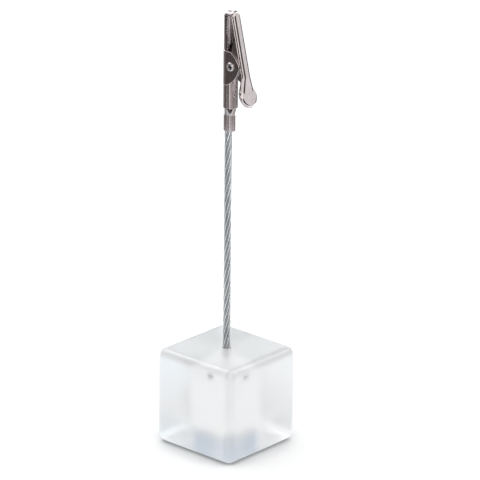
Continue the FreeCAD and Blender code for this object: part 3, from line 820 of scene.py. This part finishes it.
@dataclass
class Studio:
    """Floor, soft light, world and cards.

    The floor has its own look for rays that come through the cube, and a painted contact shadow near the
    cube's edge.
    """

    floor_size: float = 6.0
    floor_gap: float = 0.00005
    floor_tone: float = 0.93
    floor_lift: float = 0.12
    floor_under_glass: float = 0.91
    floor_roughness: float = 0.9
    floor_specular: float = 0.1
    # Reach and tone of the painted contact shadow on the floor.
    contact_shadow_reach: float = 0.012
    contact_shadow_tone: Colour = (0.35, 0.36, 0.37, 1.0)
    sky_level: float = 1.0
    white: Colour = (1.0, 1.0, 1.0, 1.0)
    black: Colour = (0.0, 0.0, 0.0, 1.0)
    key_power: float = 1.6
    key_size: float = 0.7
    key_place: tuple[float, float, float] = (-0.75, -0.15, 1.15)
    panels: tuple[Panel, ...] = PANELS
    panel_steps: int = 12

    def _floor_material(self, effects: Effects) -> bpy.types.Material:
        """Build the floor's pale paint.

        Args:
            effects: The shared node groups.

        Returns:
            The material.
        """
        desk = NodeDesk("pale_floor")
        desk.shader.inputs["Roughness"].default_value = self.floor_roughness
        desk.shader.inputs["Specular IOR Level"].default_value = self.floor_specular
        path = desk.tree.nodes.new("ShaderNodeLightPath")
        # Ambient occlusion paints a contact shadow on the floor near the cube and takes away the lift there.
        contact_shadow = desk.group(effects.painted_recess_shade, {"Reach": self.contact_shadow_reach}).outputs["Mask"]
        near = desk.mix_colour(contact_shadow, grey(self.floor_tone), self.contact_shadow_tone)
        desk.feed(desk.mix_colour(path.outputs["Is Transmission Ray"], near, self.black), "Base Color")
        either = joined_rays(desk.tree, path, ("Is Camera Ray", "Is Glossy Ray"))
        lift = desk.mix_colour(contact_shadow, grey(self.floor_lift), self.black)
        glow = desk.mix_colour(either, self.black, lift)
        through = desk.mix_colour(path.outputs["Is Transmission Ray"], glow, grey(self.floor_under_glass))
        desk.feed(through, "Emission Color")
        desk.shader.inputs["Emission Strength"].default_value = 1.0
        return desk.material

    def _floor(self, effects: Effects) -> None:
        """Lay the floor.

        Args:
            effects: The shared node groups.
        """
        half = self.floor_size / 2
        low = -self.floor_gap
        points = np.array([(-half, -half, low), (half, -half, low), (half, half, low), (-half, half, low)])
        floor = make_piece("floor", points, [(0, 1, 2, 3)])
        dress(floor, self._floor_material(effects))

    def _world(self) -> None:
        """Light the object evenly, with white behind it."""
        world = bpy.data.worlds.new("studio_world")
        world.use_nodes = True
        bpy.context.scene.world = world
        nodes, links = world.node_tree.nodes, world.node_tree.links
        output = nodes["World Output"]
        light = nodes["Background"]
        light.inputs["Color"].default_value = self.white
        light.inputs["Strength"].default_value = self.sky_level
        seen = nodes.new("ShaderNodeBackground")
        seen.inputs["Strength"].default_value = 1.0
        seen.inputs["Color"].default_value = self.white
        path = nodes.new("ShaderNodeLightPath")
        either = joined_rays(world.node_tree, path, ("Is Camera Ray", "Is Glossy Ray", "Is Transmission Ray"))
        mix = nodes.new("ShaderNodeMixShader")
        links.new(either, mix.inputs["Fac"])
        links.new(light.outputs["Background"], mix.inputs[1])
        links.new(seen.outputs["Background"], mix.inputs[2])
        links.new(mix.outputs["Shader"], output.inputs["Surface"])

    def _key(self) -> None:
        """Hang the soft key light on the left."""
        data = bpy.data.lights.new("soft_key", "AREA")
        data.shape = "DISK"
        data.size = self.key_size
        data.energy = self.key_power
        key = bpy.data.objects.new("soft_key", data)
        key.location = self.key_place
        key.rotation_mode = "QUATERNION"
        key.rotation_quaternion = (-Vector(self.key_place)).to_track_quat("-Z", "Y")
        bpy.context.scene.collection.objects.link(key)

    def _panel(self, panel: Panel) -> None:
        """Stand one card.

        Args:
            panel: Its place and tone.
        """
        count = self.panel_steps
        edge = [math.radians(panel.azimuth + panel.width * (step / count - 0.5)) for step in range(count + 1)]
        near = panel.foot_distance or panel.distance
        foot = [(near * math.cos(a), near * math.sin(a), panel.low) for a in edge]
        head = [(panel.distance * math.cos(a), panel.distance * math.sin(a), panel.high) for a in edge]
        faces = [(i, i + 1, count + 2 + i, count + 1 + i) for i in range(count)]
        card = make_piece(panel.name, np.array(foot + head), faces)
        desk = NodeDesk(panel.name)
        desk.shader.inputs["Base Color"].default_value = self.black
        desk.shader.inputs["Specular IOR Level"].default_value = 0.0
        desk.shader.inputs["Emission Color"].default_value = panel.tint.value
        desk.shader.inputs["Emission Strength"].default_value = panel.tone
        dress(card, desk.material)
        card.visible_camera = False
        card.visible_diffuse = False
        card.visible_glossy = not panel.through_cube
        card.visible_transmission = panel.through_cube
        card.visible_shadow = False

    def build(self, effects: Effects) -> None:
        """Build the studio.

        Args:
            effects: The shared node groups.
        """
        self._floor(effects)
        self._world()
        self._key()
        for panel in self.panels:
            self._panel(panel)
        log.info("studio built")


@dataclass
class PhotoCamera:
    """The photograph's camera, in degrees, metres and pixels of a 480 pixel picture."""

    azimuth: float = 41.78
    elevation: float = 20.53
    roll: float = -0.55
    distance: float = 1.19898
    focal_pixels: float = 4000.0
    frame_pixels: float = 480.0
    aim: tuple[float, float, float] = (0.0, 0.0, 0.015)
    aim_pixel: tuple[float, float] = (226.12, 393.43)
    sensor: float = 36.0
    nearest: float = 0.05
    furthest: float = 20.0

    def _directions(self) -> tuple[Vector, Vector, Vector]:
        """Work out the camera's own directions.

        Returns:
            The picture's right, its upright, and the way back from the object to the camera.
        """
        a, e, r = (math.radians(angle) for angle in (self.azimuth, self.elevation, self.roll))
        back = Vector((math.sin(a) * math.cos(e), -math.cos(a) * math.cos(e), math.sin(e)))
        level = Vector((math.cos(a), math.sin(a), 0.0))
        upright = back.cross(level)
        right = level * math.cos(r) - upright * math.sin(r)
        up = level * math.sin(r) + upright * math.cos(r)
        return right, up, back

    def build(self) -> None:
        """Place the camera and make it the scene's own."""
        right, up, back = self._directions()
        scale = self.distance / self.focal_pixels
        across = (self.aim_pixel[0] - self.frame_pixels / 2) * scale
        down = (self.aim_pixel[1] - self.frame_pixels / 2) * scale
        data = bpy.data.cameras.new("photo_camera")
        data.sensor_width = self.sensor
        data.lens = self.focal_pixels * self.sensor / self.frame_pixels
        data.clip_start = self.nearest
        data.clip_end = self.furthest
        camera = bpy.data.objects.new("photo_camera", data)
        turn = Matrix((right, up, back)).transposed().to_4x4()
        place = Vector(self.aim) + back * self.distance - right * across + up * down
        camera.matrix_world = Matrix.Translation(place) @ turn
        bpy.context.scene.collection.objects.link(camera)
        bpy.context.scene.camera = camera
        log.info("camera placed")


def main() -> None:
    """Build every class in order."""
    logging.basicConfig(level=logging.INFO, format="%(name)s: %(message)s")
    bpy.context.scene.view_settings.view_transform = "Standard"
    effects = Effects()
    PhotoCamera().build()
    Studio().build(effects)
    CubeFoot().build(effects)
    WireRope().build(effects)
    SpringClip().build(effects)


if __name__ == "__main__":
    main()
